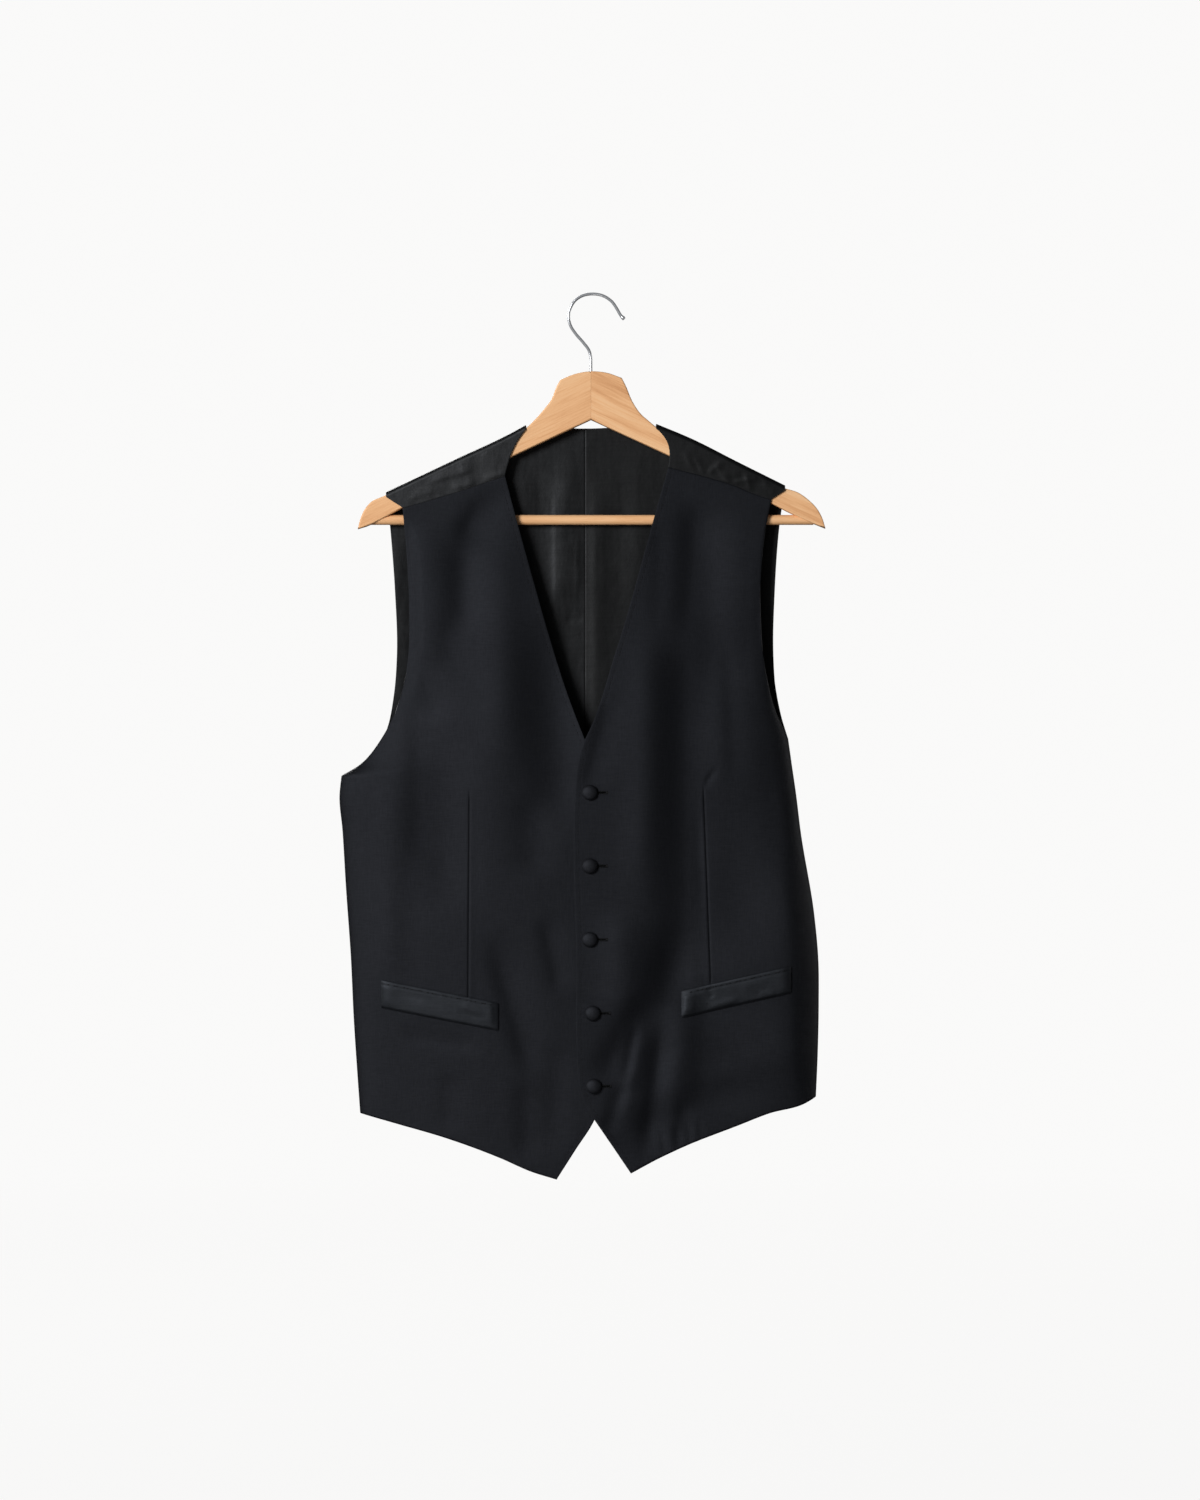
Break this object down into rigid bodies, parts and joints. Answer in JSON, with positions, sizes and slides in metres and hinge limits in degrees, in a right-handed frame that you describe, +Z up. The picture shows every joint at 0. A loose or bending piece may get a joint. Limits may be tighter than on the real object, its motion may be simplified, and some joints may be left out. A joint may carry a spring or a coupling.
{
  "type": "suit waistcoat on a wooden hanger",
  "caption": "Single-breasted suit waistcoat with a V neck, welt pockets, covered buttons and a pointed hem, hung on a flat wooden hanger with a crossbar and a wire hook.",
  "frame": {"origin": "inside top of the hook's bend, where a rail carries the hanger", "axes": "+Z up, the front faces -Y, +X is the wearer's left"},
  "size_m": [0.4623, 0.046, 0.8442],
  "materials": {
    "wool": "fine dark worsted wool, matt with a slight sheen",
    "satin": "dark satin back cloth with a soft sheen",
    "welt_satin": "dark satin welt, slightly bluish, soft sheen",
    "button_cloth": "dark satin drawn over a dome button",
    "thread": "dark sewing silk, soft sheen",
    "beech": "clear satin lacquer on pale straight-grained wood",
    "chrome": "polished chrome plate on steel wire"
  },
  "bodies": {
    "root": {"front_right": "wool", "front_left": "wool", "back_right": "satin", "back_left": "satin", "welt_right": "welt_satin", "welt_left": "welt_satin", "button_1": "button_cloth", "button_2": "button_cloth", "button_3": "button_cloth", "button_4": "button_cloth", "button_5": "button_cloth", "hanger_arm_right": "beech", "hanger_arm_left": "beech", "hanger_bar": "beech", "hanger_hook": "chrome"}
  },
  "joints": []
}
